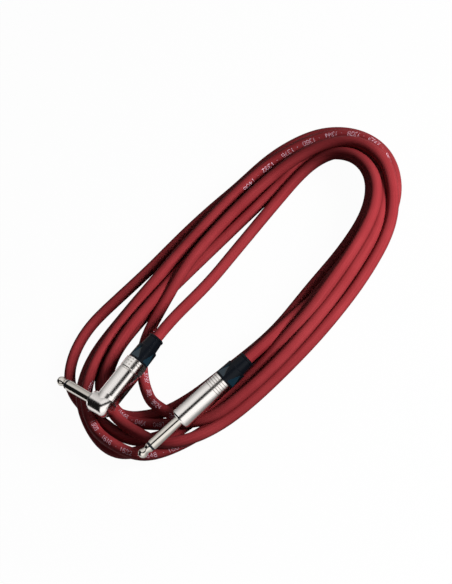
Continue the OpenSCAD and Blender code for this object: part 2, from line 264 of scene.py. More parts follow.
print("first turn:", len(from_straight_plug), "points,", len(first_round), "keys,",
      len(under_the_plug), "points")

# %% [markdown]
# The second turn lies in the upper layer of the near run and of the right end. It comes down to the
# floor on the far side and climbs over one strand at the left end.

# %% Turn two
second_round = [
    (4.44, -0.5, 9.5), (4.55, 1.3, 9.6), (4.65, 2.2, 9.5), (4.76, 2, 9.4), (4.87, 2.1, 9.4),
    (4.98, 1.2, 9.6), (5.13, 1.8, 9.7), (5.22, 3, 9.7), (5.3, 5.1, 9.7), (5.38, 6.6, 9.7),
    (5.5, 6.4, 9.7), (5.65, 5.4, 8.6), (5.8, 5, 6.4), (5.95, 5.2, 4.2), (6.15, 5.7, FLOOR),
    (6.3, 3.8, FLOOR), (6.47, 2.2, FLOOR), (6.6, 1.9, FLOOR), (6.73, -0.9, FLOOR),
    (6.86, -3, FLOOR), (7.0, -6, FLOOR), (7.06, -6, 3.6), (7.16, -4, 5.5), (7.28, 0.2, 9.2),
    (7.4, 0.9, 9), (7.5, 0.3, 6), (7.62, -1.2, 3.6), (7.8, -2.2, FLOOR)]
print("second turn:", len(second_round), "keys")

# %% [markdown]
# The third turn climbs over the others at the right end and stays up along the far run. It comes down
# at the left end, where it is the outermost strand for a while.

# %% Turn three
third_round = [
    (7.95, -1, FLOOR), (8.1, 3.8, FLOOR), (8.22, 9, FLOOR), (8.33, 13.3, FLOOR),
    (8.44, 13.3, FLOOR), (8.55, 12.4, FLOOR), (8.65, 13, FLOOR), (8.76, 12.8, 3.6),
    (8.87, 9.8, 4.6), (8.98, 6.5, 6), (9.1, 2.8, 8), (9.25, -0.2, 9.2), (9.37, -0.8, 9.8),
    (9.51, 1.2, 10.3), (9.64, 7.4, 12.8), (9.8, 10.6, 11.5), (9.93, 10.4, 10.3), (10.09, 9.6, 9.8),
    (10.25, 10.2, 9.9), (10.47, 10.4, 9.9), (10.6, 8.6, 9.5), (10.73, 7.1, 9.3), (10.86, 4.3, 9.4),
    (11.0, 3.9, 9.6), (11.13, 4.9, 10.4), (11.3, 5.2, 12), (11.45, 4.2, 11.4), (11.56, 3, 10),
    (11.76, 0.7, 9.9), (11.86, -2, 8.8), (11.94, -4.9, 7)]
print("third turn:", len(third_round), "keys, highest", max(key[2] for key in third_round), "mm")

# %% [markdown]
# The fourth turn stays on the floor and ends in a wide loop that strays beyond the oval, on the far
# side and round the left end. It could be a lane with a large negative inset, but listed points hold
# its uneven shape better.

# %% Turn four
fourth_round = [
    (12.0, -6.8, 4.6), (12.08, -8.4, FLOOR), (12.15, -5.8, FLOOR), (12.22, -2.4, FLOOR),
    (12.33, 0.7, FLOOR), (12.44, 3.7, FLOOR), (12.55, 5.5, FLOOR), (12.65, 6, FLOOR),
    (12.76, 5.7, FLOOR), (12.87, 4.3, FLOOR), (12.98, 2.4, FLOOR), (13.1, -0.5, FLOOR),
    (13.25, -1.8, FLOOR), (13.5, -0.8, FLOOR), (13.75, -0.8, FLOOR), (14.0, 0.3, FLOOR),
    (14.15, 0.5, FLOOR)]
outer_stray = points(
    (30, 62.7, FLOOR), (12, 65.6, FLOOR), (-6, 67.4, FLOOR), (-20, 68.4, FLOOR), (-34, 70, FLOOR),
    (-48, 72, FLOOR), (-61, 73.8, FLOOR), (-73, 74.8, FLOOR), (-85, 72.5, FLOOR),
    (-96.8, 66.6, FLOOR), (-107.4, 55, FLOOR), (-111, 42, FLOOR), (-111.5, 29, FLOOR),
    (-110.6, 16, FLOOR), (-109, 4, FLOOR), (-108, -8.4, FLOOR), (-104.5, -20.2, FLOOR),
    (-97.5, -30, FLOOR), (-90, -36, FLOOR), (-81, -41, FLOOR), (-69, -42.5, FLOOR),
    (-57, -43, FLOOR), (-44, -44.2, FLOOR), (-24, -49.8, FLOOR))
print("fourth turn:", len(fourth_round), "keys,", len(outer_stray), "points")

# %% [markdown]
# The fifth turn is an inner one and stays on the floor all the way. It passes under the plugs.

# %% Turn five
fifth_round = [
    (16.55, 19.3, FLOOR), (16.65, 20.5, FLOOR), (16.76, 20, FLOOR), (16.87, 17.8, FLOOR),
    (16.98, 14.3, FLOOR), (17.1, 10.5, FLOOR), (17.25, 7.5, FLOOR), (17.5, 6.9, FLOOR),
    (17.65, 8.2, FLOOR), (17.8, 10, FLOOR), (17.95, 11.4, FLOOR), (18.15, 12, FLOOR),
    (18.3, 10.4, FLOOR), (18.47, 8.6, FLOOR), (18.6, 8.3, FLOOR), (18.73, 5.7, FLOOR),
    (18.86, 3.9, FLOOR), (19.0, 4.5, FLOOR), (19.13, 6.6, FLOOR), (19.27, 10.6, FLOOR),
    (19.43, 15.4, FLOOR), (19.58, 19, FLOOR), (19.73, 20.9, FLOOR), (19.95, 23, FLOOR)]
under_both = points(
    (-79.8, -24.5, FLOOR), (-65.5, -31.6, FLOOR), (-57, -34.8, FLOOR), (-44, -38, FLOOR),
    (-24, -43.3, FLOOR))
print("fifth turn:", len(fifth_round), "keys,", len(under_both), "points")

# %% [markdown]
# The sixth turn is the innermost of all. Then it climbs over the left end and comes down on the
# outside of the coil.

# %% Turn six
sixth_round = [
    (20.55, 26.3, FLOOR), (20.65, 27.5, FLOOR), (20.76, 27.2, FLOOR), (20.87, 24.3, FLOOR),
    (20.98, 20.6, FLOOR), (21.13, 17.2, FLOOR), (21.28, 13.9, FLOOR), (21.4, 12.9, FLOOR),
    (21.5, 12.5, FLOOR), (21.65, 13.6, FLOOR), (21.8, 15.8, FLOOR), (21.95, 17.2, FLOOR),
    (22.15, 17.8, FLOOR), (22.3, 16.2, FLOOR), (22.47, 14.8, 3.8), (22.6, 15, 5.4),
    (22.73, 15.3, 8.2), (22.86, 14.1, 9.6)]
crossing_to_the_outside = points(
    (-74.4, 36, 9.6), (-84.6, 31.8, 9.6), (-92, 24.5, 9.6), (-98.3, 13.5, 9.8), (-101, 2, 9.6),
    (-101.6, -5.6, 9.3), (-100.7, -15, 9.3), (-98.6, -25, 9.4), (-97, -34, 9.6), (-94.5, -43, 9.4),
    (-90, -50.5, 9), (-83, -56.3, 7.6), (-74, -61.2, 5.4), (-64, -64.9, 4), (-54, -68, FLOOR),
    (-44, -70.3, FLOOR))
print("sixth turn:", len(sixth_round), "keys,", len(crossing_to_the_outside), "points")

# %% [markdown]
# The seventh turn runs outermost along the near side and climbs on top of the right end. On its way
# back it drops into the coil and strays across the inside of the left end.

# %% Turn seven
seventh_round = [
    (24.44, -2.6, FLOOR), (24.55, -1.4, FLOOR), (24.65, -1, FLOOR), (24.76, -1.2, FLOOR),
    (24.87, -2.4, 3.6), (24.98, -3.9, 5.5), (25.09, -5.6, 9), (25.17, -5.6, 12),
    (25.25, -2.8, 14.2), (25.34, 1, 15.4), (25.4, 3.4, 15.6), (25.48, 7, 15.4), (25.58, 11.9, 15),
    (25.67, 16.2, 14.4), (25.78, 19, 13.2), (25.88, 20.9, 11.8), (26.0, 20.7, 10.8),
    (26.1, 20.3, 10.1), (26.2, 20.4, 9.8), (26.47, 21.5, 9.8)]
inner_stray = points(
    (-16, 39.9, 7.8), (-26, 38.8, 5.8), (-36, 37.5, 4), (-45.6, 35, FLOOR), (-54.6, 31.2, FLOOR),
    (-63, 25.5, FLOOR), (-69, 18, FLOOR), (-74.2, 9.5, FLOOR), (-77.9, 1, FLOOR), (-80, -8, 4.6),
    (-80.4, -16, 8), (-79.6, -22.5, 10.2), (-79, -29, 9.7), (-77, -37, 7.9), (-72.5, -44, 6.8),
    (-64, -50.5, 5.4), (-54, -54, 4.6), (-44, -55.7, 4), (-34, -57.8, 4.8), (-24, -60, 6),
    (-14, -61.8, 7.4), (-4, -63.8, 10), (16, -66.4, 12.4), (36, -66.9, 15.2))
print("seventh turn:", len(seventh_round), "keys,", len(inner_stray), "points")

# %% [markdown]
# The last half turn lies on top of the right end and comes back through the middle of the coil to the
# right-angle plug. Its keys lie so close that the loop takes steps half as long.

# %% The last half turn
last_round = [
    (28.87, 4.7, 15.2), (28.98, 3.6, 15.2), (29.05, 3.3, 15.2), (29.14, 3.8, 15.2),
    (29.22, 5.8, 15.2), (29.3, 7.7, 15.2), (29.36, 10.2, 15.2)]
to_angled_plug = points(
    (104.8, -7, 14.6), (99.8, 5.7, 12.6), (93.4, 13.3, 10.5), (86.3, 19.1, 8.2), (76.2, 23.6, 5.5),
    (66, 25.3, 3.8), (56, 25.2, FLOOR), (46, 24.8, FLOOR), (30, 23.8, FLOOR), (14, 22.9, FLOOR),
    (0, 21.7, 3.6), (-12, 19.5, 5.8), (-23, 17.1, 8.8), (-34, 14.9, 11.8)) + out_of(
    ANGLED_AT, angled_out, 58, 44, 30, 16)
print("last half turn:", len(last_round), "keys,", len(to_angled_plug), "points")

# %% [markdown]
# All the stretches are now joined in the order in which the cable was laid. The strands that can't
# be seen leave this order open in places, and any order gives nearly the same length.

# %% The whole route
route = (from_straight_plug + lane(first_round) + under_the_plug
         + lane(second_round + third_round + fourth_round) + outer_stray
         + lane(fifth_round) + under_both + lane(sixth_round) + crossing_to_the_outside
         + lane(seventh_round) + inner_stray + lane(last_round, 0.1) + to_angled_plug)
print("points laid by hand and by the loop:", len(route))

# %% [markdown]
# ## One smooth line
#
# A cable has no corners, and the sweep needs rings that are evenly spaced. So any line of points
# can be cut again into points that are the same distance apart.


# %% Even steps
def even_steps(line, step):
    """The same line with its points the same distance apart."""
    reach = [0]
    for p, q in zip(line, line[1:]):
        reach.append(reach[-1] + (q - p).length)
    count = round(reach[-1] / step)
    even, k = [], 0
    for i in range(count):
        want = reach[-1] * i / count
        while reach[k + 1] < want:
            k += 1
        even.append(line[k].lerp(line[k + 1], (want - reach[k]) / (reach[k + 1] - reach[k])))
    return even + [line[-1]]


print("steps of 2.5 in 10 mm:", len(even_steps(points((0, 0, 0), (10, 0, 0)), 2.5)) - 1)

# %% [markdown]
# The points are joined by one Catmull-Rom curve, which passes through every one of them. Its steps
# follow the distance between the points, so that it never loops where they lie close together. A
# Bezier curve would need two handles for every point as well.

# %% Smooth line
STEP = 2.5
PER_SPAN = 16


def smooth_line(marks, step):
    """Even steps along a Catmull-Rom curve through the marks."""
    ends = [2 * marks[0] - marks[1]] + marks + [2 * marks[-1] - marks[-2]]
    dense = []
    for a, b, c, d in zip(ends, ends[1:], ends[2:], ends[3:]):
        ta, tb, tc = ((q - p).length ** 0.5 for p, q in ((a, b), (b, c), (c, d)))
        start = (c - b) + tb * ((b - a) / ta - (c - a) / (ta + tb))
        finish = (c - b) + tb * ((d - c) / tc - (d - b) / (tb + tc))
        for i in range(PER_SPAN):
            t = i / PER_SPAN
            dense.append(b + t * start + t * t * (3 * (c - b) - 2 * start - finish)
                         + t**3 * (2 * (b - c) + start + finish))
    dense.append(marks[-1])
    return even_steps(dense, step)


laid_line = smooth_line(route, STEP)
print("the line as it was laid:", len(laid_line), "points")

# %% [markdown]
# The cable's own stiffness takes out the last small wiggles. A few rounds of averaging do the same:
# each point moves halfway to the middle of its neighbours, and the plugs and the table hold it.

# %% Relaxed
RELAX_TIMES = 12


def relax(line, times, lowest):
    for _ in range(times):
        middle = [(p + 2 * q + r) / 4 for p, q, r in zip(line, line[1:], line[2:])]
        line = line[:1] + [Vector((p.x, p.y, max(p.z, lowest))) for p in middle] + line[-1:]
    return line


centreline = even_steps(relax(laid_line, RELAX_TIMES, FLOOR), STEP)
cord_length = sum((q - p).length for p, q in zip(centreline, centreline[1:]))
print("cable:", round(cord_length), "mm in", len(centreline), "rings")

# %% [markdown]
# ## The cable itself
#
# The jacket is a tube round the line. A curve object with a bevel would give a tube too, but it
# doesn't let the print and the texture know where they are. So the rings are placed here. They don't
# spin: each one's frame is carried over from the ring before.


# %% Frames along the line
def carried_frames(line):
    """(tangent, side, up) at each point, each carried over from the one before."""
    frames, side = [], None
    last = len(line) - 1
    for i, _ in enumerate(line):
        along = (line[min(i + 1, last)] - line[max(i - 1, 0)]).normalized()
        if side is None:
            side = Vector((0, 0, 1)).cross(along)
        side = (side - side.dot(along) * along).normalized()
        frames.append((along, side, along.cross(side)))
    return frames


print("frames:", len(carried_frames(centreline)))

# %% [markdown]
# The tube's own coordinates, metres along it and turns about it, are kept as its UV map, and the
# jacket's material reads them. The two shadow settings hide the flat faces of the tube, which would
# otherwise show as steps where light turns into shade.

# %% Sweep
SIDES = 32


def swept_tube(name, line, radius, sides):
    """A closed tube round a line in millimetres, as an object in metres."""
    tube = bmesh.new()
    uv = tube.loops.layers.uv.new("along_and_round")
    rings = []
    for middle, (_, side, up) in zip(line, carried_frames(line)):
        around = [2 * math.pi * k / sides for k in range(sides)]
        rings.append([tube.verts.new((middle + radius * (math.cos(a) * side + math.sin(a) * up)) * MM)
                      for a in around])
    for i, (near, far) in enumerate(zip(rings, rings[1:])):
        for k in range(sides):
            m = (k + 1) % sides
            face = tube.faces.new((near[k], near[m], far[m], far[k]))
            face.smooth = True
            for loop, (di, dk) in zip(face.loops, ((0, 0), (0, 1), (1, 1), (1, 0))):
                loop[uv].uv = ((i + di) * STEP * MM, (k + dk) / sides)
    tube.faces.new(list(reversed(rings[0])))
    tube.faces.new(rings[-1])
    return as_object(name, tube)


cable = swept_tube("cable", centreline, CORD_D / 2, SIDES)
cable.shadow_terminator_geometry_offset = 0.3
cable.shadow_terminator_shading_offset = 0.15
print("cable faces:", len(cable.data.polygons))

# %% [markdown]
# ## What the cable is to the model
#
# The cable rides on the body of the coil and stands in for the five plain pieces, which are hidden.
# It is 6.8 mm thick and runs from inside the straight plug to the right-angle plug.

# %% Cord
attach(cable, "cable_and_shells")
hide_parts("cable_coil", "cable_outer_stray", "cable_inner_stray", "cable_lead_straight",
            "cable_lead_angled")
[p * MM for p in centreline]

# %% [markdown]
# ## Numbers printed on the jacket
#
# Such a cable is printed along its whole length. Here the print is a plain length scale: every 16 mm
# it gives the distance from the straight plug in millimetres, with a dot between two numbers. An
# image on the surface would blur, because the cable is hundreds of times longer than a digit is
# wide. So each digit is drawn with a pen. It is a few lines on a grid, 4 wide and 6 high.

# %% Digits
DIGITS = {
    "0": [[(1, 0), (0, 1), (0, 5), (1, 6), (3, 6), (4, 5), (4, 1), (3, 0), (1, 0)]],
    "1": [[(0.8, 4.8), (2.2, 6), (2.2, 0)]],
    "2": [[(0, 4.8), (1, 6), (3, 6), (4, 5), (4, 3.8), (0, 0), (4, 0)]],
    "3": [[(0, 5.2), (1, 6), (3, 6), (4, 5), (4, 4), (3, 3.2), (4, 2.2), (4, 1), (3, 0), (1, 0),
           (0, 0.8)],
          [(1.4, 3.2), (3, 3.2)]],
    "4": [[(3, 0), (3, 6), (0, 1.8), (4, 1.8)]],
    "5": [[(3.8, 6), (0.3, 6), (0.2, 3.4), (3, 3.7), (4, 2.7), (4, 1), (3, 0), (1, 0), (0, 0.9)]],
    "6": [[(3.8, 5.2), (3, 6), (1, 6), (0, 5), (0, 1), (1, 0), (3, 0), (4, 1), (4, 2.5), (3, 3.5),
           (0.2, 3.2)]],
    "7": [[(0, 6), (4, 6), (1.4, 0)]],
    "8": [[(1, 3.2), (0.2, 4.2), (0.2, 5.2), (1, 6), (3, 6), (3.8, 5.2), (3.8, 4.2), (3, 3.2),
           (1, 3.2), (0, 2.2),
           (0, 1), (1, 0), (3, 0), (4, 1), (4, 2.2), (3, 3.2)]],
    "9": [[(0.2, 0.8), (1, 0), (3, 0), (4, 1), (4, 5), (3, 6), (1, 6), (0, 5), (0, 3.5), (1, 2.5),
           (3.8, 2.8)]],
    "dot": [[(1.5, 3), (2.5, 3)]],
}
print("lines in a figure 8:", len(DIGITS["8"][0]) - 1)

# %% [markdown]
# The lines are cut into short steps, so that they can bend round the cable. A digit is centred on the
# middle of its grid and stands across the cable's length, as a printing wheel leaves it.

# %% Strokes
GRID, GRID_MIDDLE = 0.42, 3
SHORT_STEP = 0.7


def strokes_of(character, along):
    """The character's lines in millimetres, from a distance along the cable."""
    for stroke in DIGITS[character]:
        line = [Vector((along + GRID * x, GRID * (y - GRID_MIDDLE))) for x, y in stroke]
        fine = line[:1]
        for a, b in zip(line, line[1:]):
            cuts = math.ceil((b - a).length / SHORT_STEP)
            fine += [a.lerp(b, i / cuts) for i in range(1, cuts + 1)]
        yield fine


print("points in a figure 8:", len(next(strokes_of("8", 0))))

# %% [markdown]
# The jacket turns slowly about itself on its way round, so that the print comes to the top only here
# and there. The list gives how far the print is turned from the upper front of the cable, in degrees,
# at some distances along it. Plus is toward the left of the cable's way.

# %% Where the print faces
PRINT_TURNS = [
    (0, 150), (380, 150), (440, 25), (485, 0), (498, 8), (530, 150), (1150, 150), (1285, -62),
    (1310, -38), (1335, -18), (1365, 0), (1405, 22), (1416, 38), (1428, 150), (1550, 150),
    (1576, 36), (1600, 18), (1630, 2), (1665, -8), (1710, -70), (1800, -170), (3580, -170),
    (3650, -220), (3720, -230), (3775, -302), (3800, -322), (3830, -350), (3850, -400), (3880, -510)]


def turn_at(along):
    for (a, turn_a), (b, turn_b) in zip(PRINT_TURNS, PRINT_TURNS[1:]):
        if along < b:
            t = (along - a) / (b - a)
            return math.radians(turn_a + (turn_b - turn_a) * t * t * (3 - 2 * t))
    return math.radians(PRINT_TURNS[-1][1])


print("turned at 1.6 m:", round(math.degrees(turn_at(1600))), "degrees")

# %% [markdown]
# Ink lies on the skin. A place on the skin is found from how far it is along the cable and how far
# across the line of print. It stands a hair proud, so that the two surfaces don't flicker through
# each other, and it never goes below the table.

# %% A place on the skin
PROUD, ABOVE_TABLE = 0.03, 0.005


def on_jacket(along, across):
    i = min(along / STEP, len(centreline) - 2)
    a, b = centreline[int(i)], centreline[int(i) + 1]
    way = (b - a).normalized()
    front = (backward - backward.dot(way) * way).normalized()
    angle = turn_at(along) + across / (CORD_D / 2)
    out = math.cos(angle) * front + math.sin(angle) * front.cross(way)
    place = a.lerp(b, i % 1) + (CORD_D / 2 + PROUD) * out
    return Vector((place.x, place.y, max(place.z, ABOVE_TABLE)))


print("print at 1.6 m:", on_jacket(1600, 0).to_tuple(1))

# %% [markdown]
# A stroke becomes a thin ribbon of ink, as wide as the pen. A projected decal could do it as well,
# but ribbons stay sharp at any distance, because they are geometry.

# %% A ribbon of ink
PEN = 0.36


def ink(ribbons, line):
    """A ribbon along a flat line, laid on the jacket."""
    edges = []
    for i, p in enumerate(line):
        along = (line[min(i + 1, len(line) - 1)] - line[max(i - 1, 0)]).normalized() * PEN / 2
        left = Vector((-along.y, along.x))
        edges.append([ribbons.verts.new(on_jacket(q.x, q.y) * MM) for q in (p - left, p + left)])
    for (a, b), (c, d) in zip(edges, edges[1:]):
        ribbons.faces.new((a, c, d, b))


print("a ribbon is", PEN, "mm wide")

# %% [markdown]
# The whole scale is one mesh, so that it rides as one piece. It starts and ends a
# little way from the plugs, where the bushings would cover it.

# %% Print the scale
DIGIT_PITCH, MARK_PITCH = 2.35, 16
DOT_AFTER = 5.2
FIRST_MARK, LAST_MARGIN = 48, 60

scale = bmesh.new()
for mark in range(FIRST_MARK, int(cord_length) - LAST_MARGIN, MARK_PITCH):
    characters = [(digit, i) for i, digit in enumerate(f"{mark:04d}")] + [("dot", DOT_AFTER)]
    for character, i in characters:
        for line in strokes_of(character, mark + i * DIGIT_PITCH):
            ink(scale, line)
numbers = as_object("printed_numbers", scale)
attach(numbers, "cable_and_shells")
print("ink faces:", len(numbers.data.polygons))

# %% [markdown]
# ## Shader maths
#
# A finish is a formula over the surface. In the node editor it would be dozens of Math nodes that
# are hard to read. This small class wraps a socket, so that the formula can be written as one:
# `1 - mask * 0.3` adds its Math nodes by itself, also when the number comes first.


# %% Values
class Value:
    """A socket that can be used in Python arithmetic."""

    def __init__(self, finish, socket):
        self.finish, self.socket = finish, socket

    def math(self, operation, *others):
        node = self.finish.tree.nodes.new("ShaderNodeMath")
        node.operation = operation
        for slot, value in zip(node.inputs, (self, *others)):
            self.finish.put(value, slot)
        return Value(self.finish, node.outputs[0])

    def __add__(self, other): return self.math("ADD", other)
    def __mul__(self, other): return self.math("MULTIPLY", other)
    def __sub__(self, other): return self.math("SUBTRACT", other)
    def __truediv__(self, other): return self.math("DIVIDE", other)
    def __neg__(self): return self.math("MULTIPLY", -1)
    def __radd__(self, other): return self + other
    def __rmul__(self, other): return self * other
    def __rsub__(self, other): return -self + other
    def over(self, limit): return self.math("GREATER_THAN", limit)
    def under(self, limit): return self.math("LESS_THAN", limit)
    def between(self, low, high): return self.over(low) * self.under(high)
    def wrapped(self, length): return self.math("WRAP", length, 0)
    def squared(self): return self * self
    def root(self): return self.math("SQRT")
    def clamped(self): return (self * 1).clamp()

    def clamp(self):
        self.socket.node.use_clamp = True
        return self

    def ramp(self, low, high):
        """0 at low, 1 at high, straight between."""
        return ((self - low) / (high - low)).clamp()


print("a value can also be:", [name for name in vars(Value) if not name.startswith("__")])

# %% [markdown]
# Any other node comes from `add`. It sets the node's own settings first and then its sockets, because
# a setting can change which sockets there are. Colours go through a Mix node, since a Math node would
# turn them grey.


# %% Nodes
class Nodes:
    """A node tree, and the way to add nodes to it."""

    def __init__(self, tree):
        self.tree = tree

    def put(self, value, slot):
        if isinstance(value, Value):
            self.tree.links.new(value.socket, slot)
        else:
            slot.default_value = value

    def add(self, kind, settings=(), sockets=(), output=0):
        node = self.tree.nodes.new("ShaderNode" + kind)
        for name, value in dict(settings).items():
            setattr(node, name, value)
        for name, value in dict(sockets).items():
            self.put(value, node.inputs[name])
        return Value(self, node.outputs[output])

    def vector_math(self, operation, *vectors, output="Value"):
        return self.add("VectorMath", {"operation": operation}, enumerate(vectors), output=output)

    def split(self, vector):
        node = self.add("SeparateXYZ", (), {"Vector": vector}).socket.node
        return [Value(self, node.outputs[i]) for i in range(3)]

    def mix(self, share, a, b):
        return self.add("Mix", {"data_type": "RGBA"}, {0: share, 6: a, 7: b}, output=2)

    def seen(self, *rays):
        """1 where the ray that arrives is one of these kinds."""
        return sum(self.add("LightPath", output=f"Is {ray} Ray") for ray in rays).clamped()


print("ways to add nodes:", [name for name in vars(Nodes) if not name.startswith("__")])

# %% [markdown]
# A finish is a material on Blender's all-round shader. What is the same all over the surface is given
# when the finish is made, and goes straight on the shader's own sockets. What changes over the
# surface is set afterwards.


# %% Finishes
class Finish(Nodes):
    """A material on Blender's all-round shader."""

    def __init__(self, name, **settings):
        self.material = bpy.data.materials.new(name)
        self.material.use_nodes = True
        super().__init__(self.material.node_tree)
        self.shader = self.tree.nodes["Principled BSDF"]
        for socket, value in settings.items():
            self.set(socket.replace("_", " "), value)

    def set(self, socket, value):
        self.put(value, self.shader.inputs[socket])

    def place(self):
        """The piece's own coordinates, in metres."""
        return self.add("TexCoord", output="Object")

    def along(self, start, way):
        """Millimetres from a place in the frame, measured one way."""
        from_start = self.vector_math("SUBTRACT", self.place(), start * MM, output=0)
        return self.vector_math("DOT_PRODUCT", from_start, way / MM)

    def noise(self, scale, detail=2.0, at=None):
        return self.add("TexNoise", (), {"Vector": at or self.place(), "Scale": scale,
                                         "Detail": detail})

    def bump(self, height, strength, distance):
        sockets = {"Height": height, "Strength": strength, "Distance": distance}
        self.set("Normal", self.add("Bump", (), sockets, output="Normal"))

    def on(self, *pieces):
        for piece in pieces:
            piece.data.materials.clear()
            piece.data.materials.append(self.material)


print("a finish can:", [name for name in vars(Finish) if not name.startswith("__")])

# %% [markdown]
# ## Red jacket
#
# The jacket is soft PVC with a satin skin. Extruding leaves faint lines along it, handling leaves it
# a little dull in places, and dye and dust keep the red from being even. A plain red would look like
# paint. The lines come from noise that is stretched along the cable's own coordinates.

# %% Jacket
DARK_RED, RED = (0.20, 0.018, 0.022, 1), (0.285, 0.033, 0.038, 1)
LINE_STRETCH = (30, 26, 1)

jacket = Finish("red_pvc", Specular_IOR_Level=0.16)
along_and_round = jacket.add("UVMap", {"uv_map": "along_and_round"})
stretched = jacket.vector_math("MULTIPLY", along_and_round, LINE_STRETCH, output=0)
lines = jacket.noise(1, at=stretched)
handling = jacket.noise(38, 3)
grain = jacket.noise(1200)
shade = (0.55 * handling + 0.45 * lines).ramp(0.35, 0.65)
jacket.set("Base Color", jacket.mix(shade, DARK_RED, RED))
jacket.set("Roughness", 0.48 + 0.16 * handling + 0.05 * lines)
jacket.bump(0.5 * grain + 0.5 * lines, 0.05, 0.0001)
jacket.on(cable)
print("jacket nodes:", len(jacket.tree.nodes))

# %% [markdown]
# ## Print
#
# The print is pale ink that is pressed on while the jacket is warm. It takes on some of the red and
# wears thin in spots. Holes in the ribbons could show that, but two shades in fine noise read the
# same at this size.

# %% Ink
WORN_INK, FRESH_INK = (0.34, 0.12, 0.16, 1), (0.72, 0.48, 0.57, 1)

print_ink = Finish("pale_print", Roughness=0.5, Specular_IOR_Level=0.3)
wear = print_ink.noise(1500).ramp(0.35, 0.6)
print_ink.set("Base Color", print_ink.mix(wear, WORN_INK, FRESH_INK))
print_ink.on(numbers)
print("ink nodes:", len(print_ink.tree.nodes))

# %% [markdown]
# ## Plated metal
#
# Shells and fingers are turned or cast, then nickel plated. The shells are satin, and the fingers are
# polished by use. A metal shows little but its surroundings, so its colour hardly varies and its
# roughness does the work. In their rings, dimples and groove the shells are painted darker, a painted
# shade of those hollows, and are also duller and lower there.

# %% Plating
# Painted shade: the colour that the rings, dimples and groove are painted, for the shade in those
# hollows.
RECESS_SHADE = (0.42, 0.39, 0.36, 1)
SATIN = {"dull": 0.13, "shades": ((0.76, 0.72, 0.69, 1), (0.84, 0.80, 0.77, 1))}
POLISHED = {"dull": 0.06, "shades": ((0.60, 0.56, 0.51, 1), (0.70, 0.66, 0.60, 1))}


def plated(name, dull, shades, recess_shade=None):
    metal = Finish(name, Metallic=1.0)
    tone, grain = metal.noise(60, 3), metal.noise(1800)
    colour = metal.mix(tone, *shades)
    rough = dull + 0.08 * tone + 0.04 * grain
    # Painted shade: the metal is painted darker in the hollows, and made duller and lower there.
    if recess_shade:
        marks = recess_shade(metal)
        colour = metal.mix(marks, colour, RECESS_SHADE)
        rough = rough + 0.15 * marks
        grain = grain - 3 * marks
    metal.set("Base Color", colour)
    metal.set("Roughness", rough)
    metal.bump(grain, 0.1, 0.00005)
    return metal


nickel = plated("polished_nickel", **POLISHED)
print("polished nickel nodes:", len(nickel.tree.nodes))

# %% [markdown]
# The shells have fine turned rings near the cable end, for a better grip. They are too fine to be cut
# into the model, so they are painted darker instead, a painted shade of their grooves. The material
# finds them by the distance along the shell from its cable end, in millimetres.

# %% Rings
FIRST_RING, RING_PITCH = 0.85, 1.6
RING_FROM, RING_TO = 0.55, 1.0


# Painted shade: the rings' grooves are painted dark, since they aren't cut into the model.
def ring_shade(back, first, last):
    """1 in the rings that lie between two distances from the cable end."""
    in_pitch = (back - FIRST_RING).wrapped(RING_PITCH)
    return in_pitch.between(RING_FROM, RING_TO) * back.between(first, last)


def straight_rings(metal):
    return ring_shade(metal.along(straight_end, -straight_out), 1.0, 8.9)


straight_nickel = plated("satin_nickel_straight", **SATIN, recess_shade=straight_rings)
print("straight shell nodes:", len(straight_nickel.tree.nodes))

# %% [markdown]
# The angled barrel has only two such rings. On the side that faces up it has small dimples instead,
# 2 mm apart, and further back a wide shallow groove goes all the way round. The dimples and the groove
# are painted darker in the same way, as painted shade.

# %% Rings, dimples and groove
DIMPLE_PITCH = 2
DIMPLE_R_SQUARED = 0.2
# Painted shade: how dark the wide groove is painted, as a share of the hollows' colour.
GROOVE_SHADE = 0.35


def angled_marks(metal):
    back = metal.along(angled_end, -angled_out)
    face = (backward - backward.dot(angled_out) * angled_out).normalized()
    across, up = metal.along(angled_end, face.cross(angled_out)), metal.along(angled_end, face)
    from_row, from_column = (d.wrapped(DIMPLE_PITCH) - DIMPLE_PITCH / 2 for d in (back, across))
    dimple = (from_row.squared() + from_column.squared()).under(DIMPLE_R_SQUARED)
    dimples = dimple * back.between(0, 8) * across.between(-1, 5) * up.over(0)
    rings = ring_shade(back, 1.0, 4.0) * across.under(-1)
    return (dimples + rings + back.between(6.8, 8.0) * GROOVE_SHADE).clamped()


angled_nickel = plated("satin_nickel_angled", **SATIN, recess_shade=angled_marks)
print("angled shell nodes:", len(angled_nickel.tree.nodes))

# %% [markdown]
# ## Bushings
#
# The bushings are moulded in black nylon: matt where the tool was blasted, and glossy in the
# triangular recesses, whose tool faces were polished. Their gloss comes from the coat and a lower
# roughness, and the black there is also painted lighter and bluer, a painted sheen. The recesses are
# in the model. The material finds them as the part of the tapered collar that lies deeper than its
# outside, so they needn't be chosen face by face.

# %% Bushings
COLLAR_R, COLLAR_TAPER = 6.36, 0.028
COLLAR_FROM, COLLAR_TO = 1.1, 10
# Painted sheen: the second colour is a lighter, bluish black for the gloss seen in the recesses.
BLASTED, RECESS_SHEEN = (0.003, 0.004, 0.006, 1), (0.006, 0.020, 0.032, 1)


def bushing_finish(name, end, out):
    black = Finish(name, Specular_IOR_Level=0.1, Coat_Roughness=0.1, Coat_IOR=1.45)
    grain, ahead = black.noise(1500, 3), black.along(end, out)
    side = out.orthogonal().normalized()
    sideways = [black.along(end, way) for way in (side, out.cross(side))]
    radius = (sideways[0].squared() + sideways[1].squared()).root()
    recess = radius.under(COLLAR_R - COLLAR_TAPER * ahead) * ahead.between(COLLAR_FROM, COLLAR_TO)
    black.set("Base Color", black.mix(recess, BLASTED, RECESS_SHEEN))
    black.set("Roughness", 0.27 + 0.1 * grain - 0.15 * recess)
    black.set("Coat Weight", 0.8 * recess)
    black.bump(grain * (1 - recess), 0.08, 0.0001)
    return black


